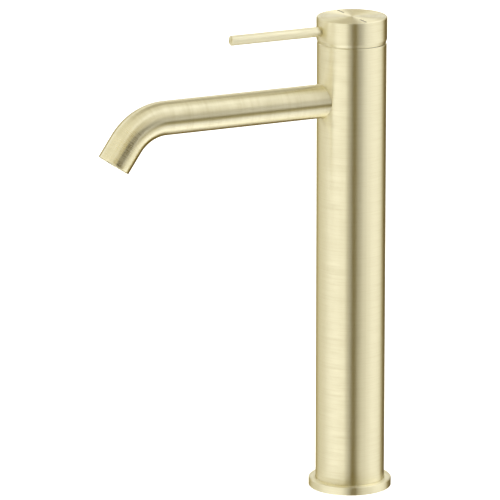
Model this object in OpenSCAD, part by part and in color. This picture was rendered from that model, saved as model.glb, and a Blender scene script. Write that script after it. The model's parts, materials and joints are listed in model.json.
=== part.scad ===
// Tall single-lever basin mixer: millimetres, deck at z = 0, spout and lever towards -Y.

/* [Base] */
// radius of the foot ring
base_r = 27; // [24:0.5:32]
// height of the foot ring
base_h = 5.6; // [4:0.1:9]
// depth of the two threaded inlets
inlet_depth = 12; // [9:0.5:13]
// depth of the threaded stud hole
stud_depth = 14; // [10:0.5:18]

/* [Column] */
// outer radius of the column
column_r = 22.5; // [21.5:0.1:22.6]
// wall of the column
column_wall = 2.5; // [2:0.1:3]
// height of the rim at the top of the column, on the axis
rim_z = 296.4; // [296:0.1:296.5]
// slope of the rim, down towards the back
rim_slope = 1.1; // [0:0.1:1.5]

/* [Spout] */
// height of the spout axis
spout_z = 259.75; // [256:0.25:262]
// outer radius of the spout tube
spout_r = 11; // [10.5:0.1:11.5]
// inner radius of the spout tube
spout_bore_r = 9; // [8.5:0.1:9.4]
// distance from the column axis to the start of the bend
spout_run = 132.5; // [100:0.5:180]
// centreline radius of the bend
bend_r = 32.6; // [26:0.1:45]
// angle of the bend
bend_angle = 55.4; // [40:0.1:80]
// straight tube after the bend
spout_end = 15.9; // [14:0.1:30]

/* [Handle] */
// outer radius of the knob
knob_r = 22.85; // [22.6:0.05:22.9]
// height of the bottom edge of the knob
knob_z = 296.6; // [296.6:0.1:297.2]
// height of the top face of the knob
top_z = 313.4; // [313:0.1:315]
// wall of the knob
knob_wall = 2.4; // [2:0.1:2.6]
// height of the tilt axis and of the lever
pivot_z = 305.4; // [305:0.1:305.8]
// radius of the lever
lever_r = 3.25; // [2.5:0.05:3.5]
// distance from the column axis to the lever tip
lever_reach = 86.3; // [60:0.1:110]

/* [Water] */
// distance of the hot and cold lines from the column axis
line_x = 9.8; // [9.6:0.1:10.2]
// outer radius of the supply pipes
pipe_r = 4; // [3.5:0.1:4]
// wall of the supply pipes
pipe_wall = 0.8; // [0.6:0.1:1]
// distance of the mixed water port from the column axis
mixed_y = 7.8; // [7:0.1:8.2]

/* [Cartridge] */
// outer radius of the cartridge
cartridge_r = 17.4; // [17:0.1:17.4]
// inner radius of the cartridge housing
cavity_r = 14.4; // [14.3:0.1:14.8]
// height of the face the cartridge stands on
seat_z = 272.5; // [272:0.1:273]
// distance from the tilt axis down to the ball end of the stem
arm = 15; // [14.8:0.1:15.2]
// travel of the ceramic disc
disc_travel = 5.13; // [5:0.01:5.2]

/* [Hidden] */
bore_r = column_r - column_wall;
core_r = bore_r - 0.05;
sweep_r = 23.7;
dish_r = sweep_r + 0.12;
dish_floor = 289.3;
knob_in_r = knob_r - knob_wall;
ceiling_z = top_z - knob_wall;
edge_r = sqrt(pow(sweep_r, 2) - pow(pivot_z - knob_z, 2));
edge_z = pivot_z - sqrt(pow(sweep_r, 2) - pow(knob_r, 2));
plug_top = 24;
ring_step = 2.6;
pipe_foot = 14.5;
block_z = 232;
block_top = 288.2;
pipe_head = 243.5;
disc_z = seat_z + 6;
slide_z = disc_z + 4;
carrier_z = slide_z + 3.3;
plate_z = 290.8;
disc_y = disc_travel / 2;
disc_r = 11.6;
neck_r = 9.8;
lip_z = 292.9;
housing_top = 294.5;
neck_top = 301.5;
slot_half = 2.6;
blade_half = 2.5;
pin_r = 1.5;
cheek_r = 3;
grub_z = pivot_z + 3.8;
seat_y = 12;
mark_middle = 16;
mark_length = 9.2;
mark_width = 1.5;
mark_depth = 0.5;
housing_r = 16.2;
shoulder_z = 287;
nut_r = 18.6;
nut_foot = 283;
dowel_x = 7;
dowel_y = 10.5;
socket_depth = 11;
brushed_brass = [0.84, 0.79, 0.62];
raw_brass = [0.76, 0.62, 0.34];
copper = [0.78, 0.45, 0.30];
rubber = [0.08, 0.08, 0.08];
plastic = [0.85, 0.85, 0.82];
ceramic = [0.93, 0.91, 0.86];
steel = [0.62, 0.63, 0.65];
enamel = [0.38, 0.33, 0.18];
$fn = 120;

// upright rod between two heights
module rod(r, z0, z1) {
  translate([0, 0, z0]) cylinder(r = r, h = z1 - z0);
}

// upright tube between two heights
module tube(r_out, r_in, z0, z1) {
  translate([0, 0, z0])
    linear_extrude(z1 - z0)
      difference() {
        circle(r_out);
        circle(r_in);
      }
}

// level rod along Y, between two y values, at height z
module rod_y(r, y0, y1, z) {
  translate([0, y1, z]) rotate([90, 0, 0]) cylinder(r = r, h = y1 - y0);
}

// level rod along X, centred, at the tilt axis
module rod_x(r, half) {
  translate([-half, 0, pivot_z]) rotate([0, 90, 0]) cylinder(r = r, h = 2 * half);
}

// box given by its half width, its y range and its z range
module block(half_x, y0, y1, z0, z1) {
  translate([-half_x, y0, z0]) cube([2 * half_x, y1 - y0, z1 - z0]);
}

// rubber ring of round section about the Z axis
module o_ring(r, section_r, z) {
  translate([0, 0, z]) rotate_extrude() translate([r, 0]) circle(section_r, $fn = 32);
}

// part of a turned ring, from one angle round to another
module arc(r_in, r_out, z0, z1, from, to) {
  translate([0, 0, z0])
    rotate([0, 0, from])
      rotate_extrude(angle = to - from) translate([r_in, 0]) square([r_out - r_in, z1 - z0]);
}

// both the hot and the cold side
module both_lines() {
  for (side = [-1, 1]) translate([side * line_x, 0, 0]) children();
}

// kidney-shaped port on the hot side and its mirror image on the cold side
module kidneys(r_out, z0, z1, last) {
  for (side = [0, 1])
    mirror([side, 0, 0]) arc(6.2, r_out, z0, z1, -65, last);
}

// ball-shaped hollow swept by the edge of the knob
module dish() {
  translate([0, 0, pivot_z]) sphere(r = dish_r, $fn = 200);
}

// everything above the sloping rim of the column, with the chamfer round its outside
module rim_cut() {
  translate([0, 0, rim_z])
    rotate([-rim_slope, 0, 0])
      rotate_extrude()
        polygon([
          [0, 0], [column_r - 0.25, 0], [column_r + 0.25, -1], [column_r + 5, -1],
          [column_r + 5, 8], [0, 8]
        ]);
}

// places its children at the outlet, with +Z pointing back up the tube
module at_outlet() {
  translate([0, -spout_run, spout_z - bend_r])
    rotate([bend_angle - 90, 0, 0])
      translate([0, -bend_r, -spout_end]) children();
}

module base_ring() {
  color(brushed_brass)
    difference() {
      rotate_extrude()
        polygon([
          [bore_r - 0.5, 0], [base_r - 0.3, 0], [base_r, 0.3], [base_r, base_h - 0.5],
          [base_r - 0.5, base_h], [column_r + 0.4, base_h], [column_r + 0.03, base_h - 0.4],
          [column_r + 0.03, ring_step], [bore_r - 0.5, ring_step]
        ]);
      tube(column_r + 2.5, column_r - 1, -1, 1.6);
    }
}

module base_gasket() {
  color(rubber) tube(column_r + 2.45, column_r - 0.95, 0, 1.6);
}

module column() {
  color(brushed_brass)
    difference() {
      tube(column_r, bore_r, ring_step, rim_z + 3);
      rim_cut();
      dish();
      rod_y(spout_r + 0.03, -column_r - 5, -1, spout_z);
    }
}

module base_plug() {
  color(raw_brass)
    difference() {
      union() {
        rod(bore_r - 0.6, 0, ring_step);
        rod(core_r, ring_step, plug_top);
      }
      rod(3.32, -1, stud_depth);
      both_lines() {
        rod(4.46, -1, inlet_depth);
        rod(pipe_r - pipe_wall, inlet_depth - 1, pipe_foot + 1);
        rod(pipe_r + 0.05, pipe_foot, plug_top + 1);
        rod(pipe_r + 1.25, 18.35, 19.65);
      }
    }
}

module supply_pipe() {
  tube(pipe_r, pipe_r - pipe_wall, pipe_foot, pipe_head);
}

module hot_pipe() {
  color(copper) translate([-line_x, 0, 0]) supply_pipe();
}

module cold_pipe() {
  color(copper) translate([line_x, 0, 0]) supply_pipe();
}

module pipe_o_rings() {
  color(rubber)
    both_lines()
      for (z = [19, 238]) o_ring(pipe_r + 0.62, 0.6, z);
}

module valve_block() {
  color(raw_brass)
    difference() {
      rod(core_r, block_z, block_top);
      rod(cartridge_r + 0.1, seat_z, block_top + 1);
      rod(cartridge_r + 1.25, slide_z, block_top + 1);
      both_lines() {
        rod(2.8, pipe_head - 1, seat_z + 1);
        rod(pipe_r + 0.05, block_z - 1, pipe_head);
        rod(pipe_r + 1.25, 237.35, 238.65);
      }
      translate([0, mixed_y, 0]) rod(3, spout_z, seat_z + 1);
      rod_y(6, -seat_y - 1, mixed_y + 3, spout_z);
      rod_y(spout_r + 0.05, -core_r - 5, -seat_y + 1, spout_z);
      for (side = [-1, 1]) translate([side * dowel_x, -dowel_y, 0]) rod(1.45, seat_z - 2.1, seat_z + 1);
    }
}

module spout_seal() {
  color(rubber)
    difference() {
      rod_y(spout_r, -seat_y, -seat_y + 1, spout_z);
      rod_y(spout_bore_r, -seat_y - 1, -seat_y + 2, spout_z);
    }
}

// path of the spout as a solid rod, from inside the column to the outlet, the last length a hair wider
module spout_path(r, y_start) {
  rod_y(r, -spout_run, -y_start, spout_z);
  translate([0, -spout_run, spout_z - bend_r])
    rotate([180, -90, 0])
      rotate_extrude(angle = bend_angle) translate([bend_r, 0]) circle(r);
  at_outlet() rod(r + 0.05, 0, spout_end + 0.4);
}

module spout_tube() {
  color(brushed_brass)
    difference() {
      spout_path(spout_r, seat_y);
      spout_path(spout_bore_r, seat_y - 1);
      at_outlet() rod(spout_r - 1.4, -1, socket_depth);
    }
}

module aerator_housing() {
  color(steel)
    at_outlet()
      difference() {
        rotate_extrude()
          polygon([
            [7.2, 1.5], [9.35, 1.5], [9.55, 1.7], [9.55, 9.5], [8.4, 9.5], [8.4, 3], [7.2, 3]
          ]);
        for (turn = [0 : 45 : 315]) rotate([0, 0, turn]) translate([7, -0.6, 1]) cube([1.6, 1.2, 1.3]);
      }
}

module aerator_seal() {
  color(rubber) at_outlet() tube(9.55, 8.4, 9.5, socket_depth);
}

module aerator_mesh() {
  pitch = 1.5;
  rows = 4;
  color(steel)
    at_outlet()
      difference() {
        rod(8.35, 3, 3.6);
        for (row = [-rows : rows])
          for (step = [0 : 2 * rows - abs(row)])
            translate([(step - rows + abs(row) / 2) * pitch, row * pitch * sqrt(3) / 2, 2])
              cylinder(r = 0.62, h = 3, $fn = 6);
      }
}

module flow_regulator() {
  color(plastic)
    at_outlet()
      difference() {
        union() {
          rod(8.35, 5, 7.6);
          rod(2, 3.6, 9);
        }
        for (turn = [0 : 30 : 330]) rotate([0, 0, turn]) translate([5.6, 0, 0]) rod(0.8, 4, 9);
      }
}

module cartridge_base() {
  color(plastic)
    difference() {
      union() {
        rod(cartridge_r, seat_z, disc_z);
        for (side = [-1, 1]) translate([side * dowel_x, -dowel_y, 0]) rod(1.4, seat_z - 2, seat_z + 1);
      }
      both_lines() {
        rod(2.8, seat_z - 1, seat_z + 3.5);
        rod(4.35, seat_z - 1, seat_z + 1.6);
      }
      kidneys(9.6, seat_z + 3, disc_z + 1, 15);
      translate([0, mixed_y, 0]) {
        rod(3, seat_z - 1, seat_z + 4);
        rod(4.65, seat_z - 1, seat_z + 1.6);
      }
      block(3, 0, mixed_y, seat_z + 3, disc_z + 1);
      rod(3, seat_z + 3, disc_z + 1);
    }
}

module port_seals() {
  color(rubber) {
    both_lines() tube(4.3, 2.9, seat_z, seat_z + 1.6);
    translate([0, mixed_y, 0]) tube(4.6, 3.1, seat_z, seat_z + 1.6);
  }
}

module fixed_disc() {
  color(ceramic)
    difference() {
      rod(cavity_r - 0.1, disc_z, slide_z);
      rod(3.2, disc_z - 1, slide_z + 1);
      kidneys(9, disc_z - 1, slide_z + 1, -15);
    }
}

module cartridge_housing() {
  color(plastic)
    rotate_extrude()
      polygon([
        [cavity_r, disc_z], [cartridge_r, disc_z], [cartridge_r, shoulder_z],
        [housing_r, shoulder_z], [housing_r, housing_top - 0.4], [housing_r - 0.4, housing_top],
        [neck_r + 0.06, housing_top], [neck_r + 0.06, lip_z], [cavity_r, lip_z]
      ]);
}

module cartridge_nut() {
  color(raw_brass)
    difference() {
      rotate_extrude()
        polygon([
          [cartridge_r + 0.1, nut_foot], [nut_r, nut_foot], [nut_r, block_top],
          [housing_r + 0.1, block_top], [housing_r + 0.1, shoulder_z + 0.02],
          [cartridge_r + 0.1, shoulder_z + 0.02]
        ]);
      for (turn = [0 : 60 : 300])
        rotate([0, 0, turn]) translate([16, -1.25, block_top - 0.9]) cube([1.6, 2.5, 2]);
    }
}

module dish_collar() {
  color(brushed_brass)
    difference() {
      tube(core_r, housing_r + 0.2, block_top, 293.5);
      tube(dish_r, housing_r - 0.2, dish_floor, dish_floor + 5);
      dish();
    }
}

module limit_ring() {
  color(plastic) {
    difference() {
      tube(14.6, neck_r + 0.15, housing_top, housing_top + 2);
      arc(1, 12.2, housing_top - 1, housing_top + 3, 38.5, 141.5);
    }
  }
}

module spindle_carrier() {
  color(plastic)
    difference() {
      union() {
        rod(cavity_r - 0.2, plate_z, lip_z - 0.1);
        rod(neck_r, plate_z, neck_top);
        block(7.5, -cheek_r, cheek_r, neck_top - 1, pivot_z);
        rod_x(cheek_r, 7.5);
        arc(neck_r - 1, neck_r + 1.9, housing_top + 0.2, housing_top + 1.8, 84, 96);
      }
      block(slot_half, -8, 3, plate_z - 1, neck_top + 1);
      block(slot_half, -12, 12, neck_top, pivot_z + 5);
      rod_x(pin_r + 0.01, 12);
      for (side = [-1, 1])
        translate([side * dowel_x, 0, 0]) block(1.55, -20, 20, plate_z - 1, plate_z + 0.85);
      tube(neck_r + 2, neck_r - 1.15, 293.1, 294.3);
    }
}

module hinge_pin() {
  color(steel) rod_x(pin_r, 7.4);
}

module stem_o_ring() {
  color(rubber) o_ring(neck_r - 0.57, 0.55, 293.7);
}

module disc_carrier() {
  color(plastic)
    difference() {
      union() {
        translate([0, disc_y, 0]) rod(disc_r, carrier_z, plate_z - 0.1);
        for (side = [-1, 1])
          translate([side * dowel_x, 0, 0]) block(1.5, -4.5, 9.5, carrier_z + 1, plate_z + 0.75);
      }
      rod(2.5, pivot_z - arm - 3, plate_z + 1);
    }
}

module moving_disc() {
  color(ceramic)
    difference() {
      translate([0, disc_y, 0]) rod(disc_r, slide_z + 0.02, carrier_z);
      translate([0, 0.4, 0]) rod(5.6, slide_z - 1, slide_z + 2);
    }
}

module control_stem() {
  color(steel)
    difference() {
      union() {
        translate([-blade_half, 0, pivot_z])
          rotate([90, 0, 90])
            linear_extrude(2 * blade_half)
              polygon([
                [-2.2, -9.4], [2.2, -9.4], [2.2, 0], [3.3, 1.5], [9, 1.5],
                [9, ceiling_z - pivot_z], [-4, ceiling_z - pivot_z], [-4, 2.2], [-2.2, 0]
              ]);
        rod(1.8, pivot_z - arm, pivot_z - 8);
        translate([0, 0, pivot_z - arm]) sphere(r = 2.4, $fn = 64);
      }
      rod_x(pin_r + 0.05, 8);
    }
}

module handle_knob() {
  color(brushed_brass)
    difference() {
      union() {
        rotate_extrude()
          polygon([
            [0, top_z], [knob_r - 0.5, top_z], [knob_r, top_z - 0.5], [knob_r, edge_z],
            [edge_r, knob_z], [knob_in_r + 0.5, knob_z], [knob_in_r, knob_z + 1.5],
            [knob_in_r, ceiling_z], [0, ceiling_z]
          ]);
        block(6, -5.5, 10, pivot_z + 3.4, ceiling_z + 1);
        block(4.5, 4.6, knob_in_r + 0.1, pivot_z + 1.5, ceiling_z + 1);
        rod_y(4.6, -knob_in_r - 0.1, -10.6, pivot_z);
        block(4.6, -knob_in_r, -10.6, pivot_z, ceiling_z + 1);
      }
      block(blade_half + 0.02, -4.02, 9.02, pivot_z + 1, ceiling_z);
      rod_y(lever_r + 0.02, -knob_r - 5, -19.4, pivot_z);
      rod_y(2.02, -20, -10, pivot_z);
      rod_y(2.02, 8, knob_r + 1, grub_z);
      rod_y(2.5, knob_in_r, knob_r + 1, grub_z);
      stroke(-1);
      stroke(1);
    }
}

// shallow index stroke on the top face, one on each side
module stroke(side) {
  translate([side * mark_middle - mark_length / 2, -mark_width / 2, top_z - mark_depth])
    cube([mark_length, mark_width, 1]);
}

module hot_mark() {
  color(enamel) intersection() {
    stroke(-1);
    rod(knob_r, knob_z, top_z - 0.1);
  }
}

module cold_mark() {
  color(enamel) intersection() {
    stroke(1);
    rod(knob_r, knob_z, top_z - 0.1);
  }
}

module lever_pin() {
  color(brushed_brass)
    translate([0, 0, pivot_z])
      rotate([90, 0, 0])
        rotate_extrude()
          polygon([
            [0, 10.9], [2, 10.9], [2, 19.45], [lever_r, 19.45], [lever_r, lever_reach - 0.4],
            [lever_r - 0.4, lever_reach], [0, lever_reach]
          ]);
}

module grub_screw() {
  color(steel)
    difference() {
      rod_y(2, 9.05, 15.5, grub_z);
      translate([0, 16, grub_z]) rotate([90, 0, 0]) cylinder(r = 1.15, h = 2.6, $fn = 6);
    }
}

module grub_plug() {
  color(brushed_brass)
    intersection() {
      rod_y(2.48, knob_in_r + 0.05, knob_r, grub_z);
      rod(knob_r - 0.05, knob_z, top_z);
    }
}

base_ring();
base_gasket();
column();
base_plug();
hot_pipe();
cold_pipe();
pipe_o_rings();
valve_block();
spout_seal();
spout_tube();
aerator_housing();
aerator_seal();
aerator_mesh();
flow_regulator();
cartridge_base();
port_seals();
fixed_disc();
cartridge_housing();
cartridge_nut();
dish_collar();
limit_ring();
spindle_carrier();
hinge_pin();
stem_o_ring();
disc_carrier();
moving_disc();
control_stem();
handle_knob();
lever_pin();
grub_screw();
grub_plug();
hot_mark();
cold_mark();
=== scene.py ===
import json
import math

import bmesh
import bpy
from mathutils import Matrix, Vector


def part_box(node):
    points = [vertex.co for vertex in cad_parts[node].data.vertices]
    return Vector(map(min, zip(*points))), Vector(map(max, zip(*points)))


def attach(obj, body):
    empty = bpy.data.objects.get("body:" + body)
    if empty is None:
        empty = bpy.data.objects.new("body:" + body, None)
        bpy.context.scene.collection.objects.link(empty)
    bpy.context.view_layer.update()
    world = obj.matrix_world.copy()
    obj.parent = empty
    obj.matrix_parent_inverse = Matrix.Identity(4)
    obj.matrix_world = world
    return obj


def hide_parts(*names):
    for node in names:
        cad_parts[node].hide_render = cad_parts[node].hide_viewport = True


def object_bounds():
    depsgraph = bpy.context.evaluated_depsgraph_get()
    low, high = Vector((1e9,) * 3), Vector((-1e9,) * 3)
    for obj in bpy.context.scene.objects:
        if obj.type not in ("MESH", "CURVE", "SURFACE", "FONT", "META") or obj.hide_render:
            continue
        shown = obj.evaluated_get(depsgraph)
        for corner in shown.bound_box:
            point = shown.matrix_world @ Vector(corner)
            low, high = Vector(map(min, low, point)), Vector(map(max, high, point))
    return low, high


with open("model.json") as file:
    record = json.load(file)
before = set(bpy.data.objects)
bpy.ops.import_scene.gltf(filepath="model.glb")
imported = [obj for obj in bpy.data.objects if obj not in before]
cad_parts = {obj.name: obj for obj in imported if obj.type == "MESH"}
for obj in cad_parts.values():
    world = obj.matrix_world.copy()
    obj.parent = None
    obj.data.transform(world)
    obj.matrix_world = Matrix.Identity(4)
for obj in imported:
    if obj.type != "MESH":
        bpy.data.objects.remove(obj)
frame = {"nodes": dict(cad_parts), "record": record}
cad_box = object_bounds()
nodes = frame["nodes"]
scene = bpy.context.scene

# ---------------------------------------------------------------- spout sizes, in metres
# where the tube starts and how high it lies come from the node that it replaces
spout_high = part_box("spout_tube")[1]
spout_r = 0.011
spout_bore_r = 0.009
spout_socket_r = 0.0096
spout_socket = 0.011
spout_start = spout_high.y
spout_z = spout_high.z - spout_r
# from the column's axis to the bend, the bend itself, and the straight end after it
spout_run = 0.1325
bend_r = 0.0326
bend_angle = math.radians(55.4)
spout_end = 0.0159
# lengths along the tube, from its start to the bend and round the bend
run_length = spout_run + spout_start
bend_length = bend_r * bend_angle

# ---------------------------------------------------------------- camera
camera_azimuth = math.radians(63.24)
camera_distance = 3.4362
camera_height = 1.0528
aim = Vector((-0.02943, -0.05839, 0.15803))
camera_lens = 394.1
sensor = 36.0
camera_reach = 50.0


def make_camera():
    data = bpy.data.cameras.new("camera")
    data.sensor_width = sensor
    data.lens = camera_lens
    data.clip_end = camera_reach
    camera = bpy.data.objects.new("camera", data)
    scene.collection.objects.link(camera)
    camera.location = (
        camera_distance * math.sin(camera_azimuth),
        -camera_distance * math.cos(camera_azimuth),
        camera_height,
    )
    camera.rotation_euler = (aim - camera.location).to_track_quat("-Z", "Y").to_euler()
    scene.camera = camera


# ---------------------------------------------------------------- node helpers
noise_roughness = 0.6
white = (1, 1, 1, 1)


def new_material(name):
    """A new material and its emptied node tree."""
    material = bpy.data.materials.new(name)
    material.use_nodes = True
    tree = material.node_tree
    tree.nodes.clear()
    return material, tree


def add(tree, kind, settings=(), **inputs):
    """Adds a node, sets its properties, and sets or links its inputs by name, with _ for a space."""
    node = tree.nodes.new(kind)
    for key, value in dict(settings).items():
        setattr(node, key, value)
    for key, value in inputs.items():
        set_input(tree, node, key.replace("_", " "), value)
    return node


def set_input(tree, node, key, value):
    """Sets one input, or links it if the value is another node's output. The key is a name or a number."""
    socket = node.inputs[key]
    if isinstance(value, bpy.types.NodeSocket):
        tree.links.new(value, socket)
    else:
        socket.default_value = value


def add_numbered(tree, kind, inputs, settings=()):
    """Adds a node with its inputs given by number, as some share a name, and returns its first output."""
    node = add(tree, kind, settings)
    for index, value in inputs.items():
        set_input(tree, node, index, value)
    return node.outputs[0]


def math_node(tree, operation, *values):
    return add_numbered(tree, "ShaderNodeMath", dict(enumerate(values)), {"operation": operation})


def mix_value(tree, factor, a, b):
    return add_numbered(tree, "ShaderNodeMix", {0: factor, 2: a, 3: b}, {"data_type": "FLOAT"})


def mix_shader(tree, factor, a, b):
    return add_numbered(tree, "ShaderNodeMixShader", {0: factor, 1: a, 2: b})


def separate(tree, vector):
    return add(tree, "ShaderNodeSeparateXYZ", Vector=vector).outputs


def map_range(tree, value, start, end, to_start, to_end, smooth_step=False):
    """The value's way from start to end, as a way from to_start to to_end."""
    settings = {"interpolation_type": "SMOOTHSTEP"} if smooth_step else {}
    node = add(tree, "ShaderNodeMapRange", settings, Value=value, From_Min=start, From_Max=end,
               To_Min=to_start, To_Max=to_end)
    return node.outputs[0]


def ramp(tree, factor, stops):
    """A colour ramp through (position, colour) stops; a number as colour means grey."""
    node = tree.nodes.new("ShaderNodeValToRGB")
    elements = node.color_ramp.elements
    while len(elements) > 1:
        elements.remove(elements[-1])
    for i, (position, colour) in enumerate(stops):
        element = elements[0] if i == 0 else elements.new(position)
        element.position = position
        rgb = (colour, colour, colour) if isinstance(colour, (int, float)) else colour
        element.color = (*rgb, 1.0)
    tree.links.new(factor, node.inputs[0])
    return node.outputs[0]


def noise(tree, vector, scale, detail):
    node = add(tree, "ShaderNodeTexNoise", Vector=vector, Scale=scale, Detail=detail,
               Roughness=noise_roughness)
    return node.outputs[0]


def finish_material(tree, shader):
    output = tree.nodes.new("ShaderNodeOutputMaterial")
    tree.links.new(shader, output.inputs["Surface"])


# ---------------------------------------------------------------- brushed brass
brass_colour = (0.925, 0.87, 0.63)
# the deepest and the palest lines, as shares of that colour
brass_deep = (0.96, 0.95, 0.92)
brass_pale = 1.02
# how fast the fine and the broad lines change across the brushing, and all of them along it
brush_fine = 5200.0
brush_broad = 640.0
brush_along = 45.0
# shares of the two kinds of line
fine_share = 0.45
broad_share = 0.55
# how much faster the lines change up a side than across an end face
side_speed = 1.7
brass_roughness = 0.4
lever_roughness = 0.38
# the lines move the roughness by this much each way
gloss_spread = 0.09
# how much smoother the spout is after its bend
outlet_polish = 0.11
brush_bump = 0.03
brush_depth = 0.00002
# slope of the knob's very slightly domed top face
knob_crown = 0.17
# turn of the highlights for lines that go round the axis
round_turn = 0.25


def brush_coordinates(tree, axis, centre):
    """Two ways across the axis, the way across the brushed lines, the way along the axis, and the radius."""
    position = add(tree, "ShaderNodeTexCoord").outputs["Object"]
    shifted = add_numbered(tree, "ShaderNodeVectorMath", {0: position, 1: centre}, {"operation": "SUBTRACT"})
    parts = separate(tree, shifted)
    along = parts["XYZ".index(axis)]
    across = [parts[i] for i in range(3) if "XYZ"[i] != axis]
    squares = [math_node(tree, "MULTIPLY", value, value) for value in across]
    radius = math_node(tree, "SQRT", math_node(tree, "ADD", *squares))
    line = math_node(tree, "ADD", math_node(tree, "MULTIPLY", along, side_speed), radius)
    return across[0], across[1], line, along, radius


def uv_brush_coordinates(tree, layer):
    """The same for the spout, whose UV layer has U in turns round the tube and V in metres along it."""
    parts = separate(tree, add(tree, "ShaderNodeUVMap", {"uv_map": layer}).outputs[0])
    turn = math_node(tree, "MULTIPLY", parts[0], 2 * math.pi)
    side = math_node(tree, "MULTIPLY", math_node(tree, "COSINE", turn), spout_r)
    rise = math_node(tree, "MULTIPLY", math_node(tree, "SINE", turn), spout_r)
    return side, rise, parts[1], parts[1], None


def brushed_brass(name, axis="Z", centre=(0, 0, 0), layer=None, lengthwise=False, crown=0.0,
                  roughness=brass_roughness):
    """Brushed round its axis, or along it if lengthwise; crown is the slope of a slightly domed end face."""
    material, tree = new_material(name)
    if layer:
        a, b, line, along, radius = uv_brush_coordinates(tree, layer)
        tangent = add(tree, "ShaderNodeTangent", {"direction_type": "UV_MAP", "uv_map": layer})
    else:
        a, b, line, along, radius = brush_coordinates(tree, axis, centre)
        tangent = add(tree, "ShaderNodeTangent", {"direction_type": "RADIAL", "axis": axis})

    def streaks(fast):
        round_speed, line_speed = (fast, brush_along) if lengthwise else (brush_along, fast)
        third = along if lengthwise else line
        ways = ((a, round_speed), (b, round_speed), (third, line_speed))
        stretched = {i: math_node(tree, "MULTIPLY", way, speed) for i, (way, speed) in enumerate(ways)}
        return noise(tree, add_numbered(tree, "ShaderNodeCombineXYZ", stretched), 1.0, detail=4.0)

    fine = math_node(tree, "MULTIPLY", streaks(brush_fine), fine_share)
    broad = math_node(tree, "MULTIPLY", streaks(brush_broad), broad_share)
    both = math_node(tree, "ADD", fine, broad)
    deep = tuple(value * share for value, share in zip(brass_colour, brass_deep))
    pale = tuple(value * brass_pale for value in brass_colour)
    colour = ramp(tree, both, [(0.36, deep), (0.52, brass_colour), (0.68, pale)])
    rough = map_range(tree, both, 0.3, 0.7, roughness + gloss_spread, roughness - gloss_spread)
    if layer:
        worn = map_range(tree, line, run_length, run_length + bend_length, 0.0, outlet_polish,
                         smooth_step=True)
        rough = math_node(tree, "SUBTRACT", rough, worn)
    bump = add(tree, "ShaderNodeBump", Strength=brush_bump, Distance=brush_depth, Height=both)
    if crown:
        dome = add(tree, "ShaderNodeBump", Strength=1.0, Distance=1.0,
                   Height=math_node(tree, "MULTIPLY", radius, -crown))
        set_input(tree, bump, "Normal", dome.outputs[0])
    shader = add(tree, "ShaderNodeBsdfPrincipled", Base_Color=colour, Roughness=rough,
                 Metallic=1.0, Anisotropic=1.0, Anisotropic_Rotation=0.0 if lengthwise else round_turn,
                 Normal=bump.outputs[0], Tangent=tangent.outputs[0])
    finish_material(tree, shader.outputs[0])
    return material


# ---------------------------------------------------------------- other materials
grain_scale = 900.0
mottle_share = 0.12
grain_depth = 0.00003
gloss_contrast = 0.12


def grained(name, colour, dark, roughness, metallic=0.0, bump=0.1, **extra):
    """A finish with mottled colour, uneven gloss and a fine surface grain."""
    material, tree = new_material(name)
    position = add(tree, "ShaderNodeTexCoord").outputs["Object"]
    mottle = noise(tree, position, grain_scale * mottle_share, detail=4.0)
    grain = noise(tree, position, grain_scale, detail=2.0)
    tint = ramp(tree, mottle, [(0.35, dark), (0.65, colour)])
    least, most = roughness * (1 - gloss_contrast), roughness * (1 + gloss_contrast)
    rough = map_range(tree, grain, 0.3, 0.7, least, most)
    surface = add(tree, "ShaderNodeBump", Strength=bump, Distance=grain_depth, Height=grain)
    shader = add(tree, "ShaderNodeBsdfPrincipled", Base_Color=tint, Roughness=rough,
                 Metallic=metallic, Normal=surface.outputs[0], **extra)
    finish_material(tree, shader.outputs[0])
    return material


def make_materials():
    """Every finish by name. The brushed brass is four of them, because it is brushed in four ways."""
    lever_low, lever_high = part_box("lever_pin")
    lever_centre = (0.0, 0.0, (lever_low.z + lever_high.z) / 2)
    return {
        "turned_brass": brushed_brass("brushed_brass_turned"),
        "knob_brass": brushed_brass("brushed_brass_knob", crown=knob_crown),
        "lever_brass": brushed_brass("brushed_brass_lever", axis="Y", centre=lever_centre, lengthwise=True,
                                     roughness=lever_roughness),
        "spout_brass": brushed_brass("brushed_brass_spout", layer="tube"),
        "raw_brass": grained("raw_brass", (0.72, 0.55, 0.26), (0.60, 0.43, 0.18), 0.32, metallic=1.0),
        "copper": grained("copper", (0.83, 0.45, 0.30), (0.62, 0.30, 0.19), 0.28, metallic=1.0),
        "rubber": grained("rubber", (0.022, 0.022, 0.022), (0.012, 0.012, 0.012), 0.62, bump=0.25),
        "plastic": grained("cartridge_plastic", (0.78, 0.78, 0.74), (0.70, 0.70, 0.65), 0.42, bump=0.15,
                           Subsurface_Weight=0.05),
        "ceramic": grained("lapped_ceramic", (0.86, 0.84, 0.78), (0.80, 0.77, 0.70), 0.16, bump=0.02,
                           Coat_Weight=0.3),
        "steel": grained("stainless_steel", (0.62, 0.61, 0.58), (0.48, 0.47, 0.45), 0.3, metallic=1.0),
        "enamel": grained("dark_enamel", (0.20, 0.165, 0.06), (0.15, 0.12, 0.045), 0.35, bump=0.05,
                          Coat_Weight=0.4),
    }


def assign(obj, material):
    obj.data.materials.clear()
    obj.data.materials.append(material)


def paint_nodes(materials):
    """Each CAD node takes the finish of its slot, and a brushed one the brass that is brushed its way."""
    slots = {part["node"]: part["material_slot"] for part in frame["record"]["subparts"]}
    for name, obj in nodes.items():
        slot = slots[name]
        if slot == "brushed_brass":
            slot = {"lever_pin": "lever_brass", "handle_knob": "knob_brass"}.get(name, "turned_brass")
        assign(obj, materials[slot])


# ---------------------------------------------------------------- spout
# how finely the tube is divided, round it and along each stretch
tube_sides = 96
run_steps = 24
bend_steps = 40
end_steps = 6
lip_steps = 4
# radius of the rounded edges at the outlet
lip_r = 0.00025
# edges sharper than this stay crisp
crisp_angle = math.radians(35)


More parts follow.
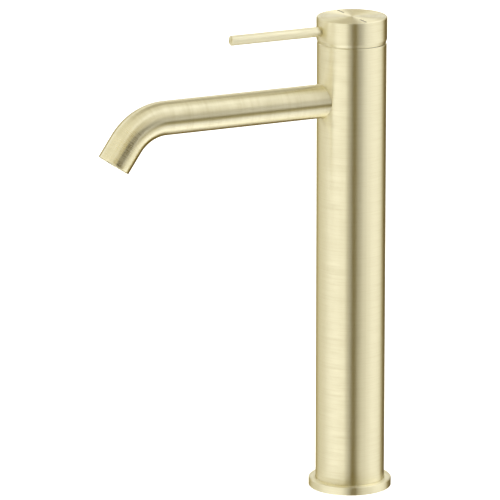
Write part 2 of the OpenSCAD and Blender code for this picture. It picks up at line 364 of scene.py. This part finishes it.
def spout_frame(s):
    """Point on the spout's axis, its direction and its upper normal, s metres from where it starts."""
    if s <= run_length:
        turn = 0.0
        point = Vector((0, spout_start - s, spout_z))
    else:
        turn = min((s - run_length) / bend_r, bend_angle)
        point = Vector((0, -spout_run - bend_r * math.sin(turn), spout_z - bend_r * (1 - math.cos(turn))))
    direction = Vector((0, -math.cos(turn), -math.sin(turn)))
    normal = Vector((0, -math.sin(turn), math.cos(turn)))
    if s > run_length + bend_length:
        point = point + direction * (s - run_length - bend_length)
    return point, direction, normal


def spout_profile():
    """(radius, distance along the axis) round the wall: outside, lip, socket, ledge, bore, inner end."""
    total = run_length + bend_length + spout_end
    ledge = total - spout_socket
    straight = [run_length * i / run_steps for i in range(run_steps)]
    curved = [run_length + bend_length * i / bend_steps for i in range(bend_steps + 1)]
    quarter = [math.pi / 2 * i / lip_steps for i in range(lip_steps + 1)]
    out = [(spout_r, s) for s in straight + curved]
    out += [(spout_r, total - spout_end * (1 - i / end_steps)) for i in range(1, end_steps)]
    out += [(spout_r - lip_r + lip_r * math.cos(angle), total - lip_r + lip_r * math.sin(angle))
            for angle in quarter]
    out += [(spout_socket_r + lip_r - lip_r * math.sin(angle), total - lip_r + lip_r * math.cos(angle))
            for angle in quarter]
    out += [(spout_socket_r, ledge), (spout_bore_r, ledge)]
    out += [(spout_bore_r, s) for s in reversed(straight[1:] + curved) if s < ledge]
    out += [(spout_bore_r, 0.0)]
    return out


def make_spout(material):
    """The whole tube, with the brushing mapped round its bend, in place of the CAD node."""
    profile = spout_profile()
    vertices, faces = [], []
    for radius, s in profile:
        point, direction, normal = spout_frame(s)
        side = direction.cross(normal)
        for i in range(tube_sides):
            angle = 2 * math.pi * i / tube_sides
            vertices.append(point + (side * math.cos(angle) + normal * math.sin(angle)) * radius)
    rings = len(profile)
    for ring in range(rings):
        following = (ring + 1) % rings
        for i in range(tube_sides):
            j = (i + 1) % tube_sides
            faces.append((ring * tube_sides + i, ring * tube_sides + j,
                          following * tube_sides + j, following * tube_sides + i))
    mesh = bpy.data.meshes.new("spout")
    mesh.from_pydata(vertices, [], faces)
    layer = mesh.uv_layers.new(name="tube")
    for face in mesh.polygons:
        ring, i = divmod(face.index, tube_sides)
        v0, v1 = profile[ring][1], profile[(ring + 1) % rings][1]
        corners = ((i, v0), (i + 1, v0), (i + 1, v1), (i, v1))
        for loop, (u, v) in zip(face.loop_indices, corners):
            layer.data[loop].uv = (u / tube_sides, v)
    spout = bpy.data.objects.new("spout", mesh)
    scene.collection.objects.link(spout)
    smooth(mesh)
    assign(spout, material)
    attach(spout, "body")
    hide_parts("spout_tube")


def smooth(mesh):
    """Smooth shading with the normals turned outwards, and sharp edges kept crisp."""
    work = bmesh.new()
    work.from_mesh(mesh)
    bmesh.ops.recalc_face_normals(work, faces=work.faces)
    for face in work.faces:
        face.smooth = True
    for edge in work.edges:
        if len(edge.link_faces) == 2 and edge.calc_face_angle() > crisp_angle:
            edge.smooth = False
    work.to_mesh(mesh)
    work.free()


# ---------------------------------------------------------------- floor
floor_sides = 96
floor_radius = 6.0
floor_gap = 0.0001
floor_colour = (0.9, 0.9, 0.9, 1)
floor_glow = 0.78


def make_floor():
    """A pale disc under the object that glows a little, so that its far edge doesn't show."""
    mesh = bpy.data.meshes.new("floor")
    angles = [2 * math.pi * i / floor_sides for i in range(floor_sides)]
    ring = [(floor_radius * math.cos(angle), floor_radius * math.sin(angle), 0) for angle in angles]
    mesh.from_pydata(ring, [], [tuple(range(floor_sides))])
    floor = bpy.data.objects.new("floor", mesh)
    scene.collection.objects.link(floor)
    floor.location.z = cad_box[0][2] - floor_gap
    material, tree = new_material("floor")
    lit = add(tree, "ShaderNodeBsdfDiffuse", Color=floor_colour)
    glow = add(tree, "ShaderNodeEmission", Color=white, Strength=floor_glow)
    finish_material(tree, add_numbered(tree, "ShaderNodeAddShader", {0: lit.outputs[0], 1: glow.outputs[0]}))
    assign(floor, material)
    floor.visible_glossy = False


# ---------------------------------------------------------------- studio light
studio_strength = 1.75
# level of the studio all round, by compass angle from +X towards +Y, in degrees
studio_round = [
    (-180, 0.74), (-165, 0.80), (-145, 1.08), (-124, 1.38), (-96, 1.60), (-73, 1.60), (-55, 1.58),
    (-43, 1.50), (-30, 1.10), (-10, 0.90), (3, 0.97), (15, 1.03), (27, 1.10), (48, 1.20),
    (70, 1.31), (88, 1.30), (98, 0.65), (110, 0.12), (150, 0.14), (170, 0.50), (180, 0.74),
]
# share of that level at each height, in degrees above the horizon
studio_height = [
    (-90, 0.68), (-70, 0.68), (-54, 0.70), (-42, 0.62), (-32, 0.42), (-24, 0.27), (-17, 0.30),
    (-6, 0.50), (8, 0.63), (24, 0.68), (40, 0.70), (60, 0.65), (90, 0.62),
]
# the highest level all round, so that the ramps stay within one
studio_peak = 1.6
# how far the two ends, straight up and straight down, have an even level of their own
cap_share = [(-90, 1.0), (-83, 1.0), (-72, 0.0), (68, 0.0), (80, 1.0), (90, 1.0)]
floor_cap = 0.58
ceiling_cap = 0.52
# added power of red, green and blue where the studio is dark, so that its shadows are brown
studio_warmth = (0.0, 0.22, 1.2)
# cards that stand in that studio: compass angle and half width, height and half height, level
studio_cards = [
    (-27, 62, 62, 16, 0.66),
    (-95, 60, 45, 32, 0.46),
    (-38, 28, 26, 17, 0.38),
    (-20, 24, 16, 16, 0.26),
    (124, 26, 44, 29, 0.52),
    (162, 28, 59, 12, 0.06),
    (165, 62, -52, 18, 0.10),
    (153, 17, 8, 31, 0.54),
    (-178, 9, 2, 18, 0.20),
]
# half the width of a card's soft edge, in degrees
card_edge = 5.0


def inside_band(tree, distance, half_width):
    """One within half_width degrees of a card's middle, falling to zero over its soft edge."""
    full, clear = math.radians(half_width - card_edge), math.radians(half_width + card_edge)
    return map_range(tree, distance, full, clear, 1.0, 0.0, smooth_step=True)


def card_mask(tree, compass, height, card):
    """One inside a card, by compass angle and height."""
    turn = math_node(tree, "SUBTRACT", compass, math.radians(card[0]))
    around = math_node(tree, "ARCCOSINE", math_node(tree, "COSINE", turn))
    rise = math_node(tree, "ABSOLUTE", math_node(tree, "SUBTRACT", height, math.radians(card[2])))
    return math_node(tree, "MULTIPLY", inside_band(tree, around, card[1]), inside_band(tree, rise, card[3]))


def studio_level(tree):
    """Brightness of the studio in every direction, as a share of studio_peak."""
    parts = separate(tree, add(tree, "ShaderNodeTexCoord").outputs["Generated"])
    compass = math_node(tree, "ARCTAN2", parts[1], parts[0])
    round_share = math_node(tree, "MULTIPLY_ADD", compass, 1 / (2 * math.pi), 0.5)
    stops = [((angle + 180) / 360, value / studio_peak) for angle, value in studio_round]
    level = ramp(tree, round_share, stops)
    clamped = math_node(tree, "MINIMUM", math_node(tree, "MAXIMUM", parts[2], -1.0), 1.0)
    height = math_node(tree, "ARCSINE", clamped)
    height_share = math_node(tree, "MULTIPLY_ADD", height, 1 / math.pi, 0.5)
    share = ramp(tree, height_share, [((angle + 90) / 180, value) for angle, value in studio_height])
    level = math_node(tree, "MULTIPLY", level, share)
    for card in studio_cards:
        level = mix_value(tree, card_mask(tree, compass, height, card), level, card[4] / studio_peak)
    caps = ramp(tree, height_share, [((angle + 90) / 180, value) for angle, value in cap_share])
    ends = ramp(tree, height_share, [(0.0, floor_cap / studio_peak), (1.0, ceiling_cap / studio_peak)])
    return mix_value(tree, caps, level, ends)


def make_world():
    """The studio for light and reflections, and plain white behind the object."""
    world = bpy.data.worlds.new("studio")
    scene.world = world
    world.use_nodes = True
    tree = world.node_tree
    tree.nodes.clear()
    bright = math_node(tree, "MULTIPLY", studio_level(tree), studio_peak * studio_strength)
    shade = math_node(tree, "MINIMUM", bright, 1.0)
    colours = {i: math_node(tree, "MULTIPLY", bright, math_node(tree, "POWER", shade, power))
               for i, power in enumerate(studio_warmth)}
    light = add_numbered(tree, "ShaderNodeCombineColor", colours)
    studio = add(tree, "ShaderNodeBackground", Color=light, Strength=1.0)
    backdrop = add(tree, "ShaderNodeBackground", Color=white, Strength=1.0)
    seen = add(tree, "ShaderNodeLightPath").outputs["Is Camera Ray"]
    choice = mix_shader(tree, seen, studio.outputs[0], backdrop.outputs[0])
    output = tree.nodes.new("ShaderNodeOutputWorld")
    tree.links.new(choice, output.inputs["Surface"])


# ---------------------------------------------------------------- dark flags near the object, on its +X side
# middle, half width and half height in metres, soft edges as shares of those, lean in degrees, colour
flags = {
    "flag_tall": (Vector((0.42, -0.112, 0.10)), 0.108, 0.9, (0.5, 0.2), 0, (0.16, 0.116, 0.01, 1)),
    "flag_low": (Vector((0.42, 0.13, 0.115)), 0.24, 0.075, (0.4, 0.6), 0, (0.135, 0.097, 0.005, 1)),
    "flag_leaning": (Vector((0.425, -0.138, 0.206)), 0.18, 0.36, (0.4, 0.3),
                     math.degrees(math.pi / 2 - bend_angle), (0.012, 0.008, 0.0, 1)),
}


def flag_mesh(name, middle, half_width, half_height, lean):
    """A card across the X axis, leaning sideways, with a UV layer that runs from -1 to 1 both ways."""
    mesh = bpy.data.meshes.new(name)
    corners = ((-1, -1), (1, -1), (1, 1), (-1, 1))
    turn = Matrix.Rotation(math.radians(-lean), 3, "X")
    points = [middle + turn @ Vector((0, u * half_width, v * half_height)) for u, v in corners]
    mesh.from_pydata(points, [], [(0, 1, 2, 3)])
    layer = mesh.uv_layers.new(name="card")
    for loop, uv in zip(layer.data, corners):
        loop.uv = uv
    return mesh


def flag_material(name, edges, colour):
    """Dark in the middle, and clear towards the edges."""
    material, tree = new_material(name)
    parts = separate(tree, add(tree, "ShaderNodeUVMap", {"uv_map": "card"}).outputs[0])
    fades = [map_range(tree, math_node(tree, "ABSOLUTE", way), 1.0 - edge, 1.0, 1.0, 0.0, smooth_step=True)
             for way, edge in zip(parts[:2], edges)]
    clear = tree.nodes.new("ShaderNodeBsdfTransparent")
    dark = add(tree, "ShaderNodeEmission", Color=colour, Strength=1.0)
    cover = math_node(tree, "MULTIPLY", *fades)
    finish_material(tree, mix_shader(tree, cover, clear.outputs[0], dark.outputs[0]))
    return material


def make_flag(name, middle, half_width, half_height, edges, lean, colour):
    """A dark card that only reflections see: it draws the dark stripes on the column and the spout."""
    flag = bpy.data.objects.new(name, flag_mesh(name, middle, half_width, half_height, lean))
    scene.collection.objects.link(flag)
    assign(flag, flag_material(name, edges, colour))
    flag.visible_camera = False
    flag.visible_diffuse = False
    flag.visible_shadow = False
    flag.visible_transmission = False


# ---------------------------------------------------------------- build
make_camera()
materials = make_materials()
paint_nodes(materials)
make_spout(materials["spout_brass"])
make_floor()
for flag_name, flag_settings in flags.items():
    make_flag(flag_name, *flag_settings)
make_world()
scene.view_settings.view_transform = "Standard"
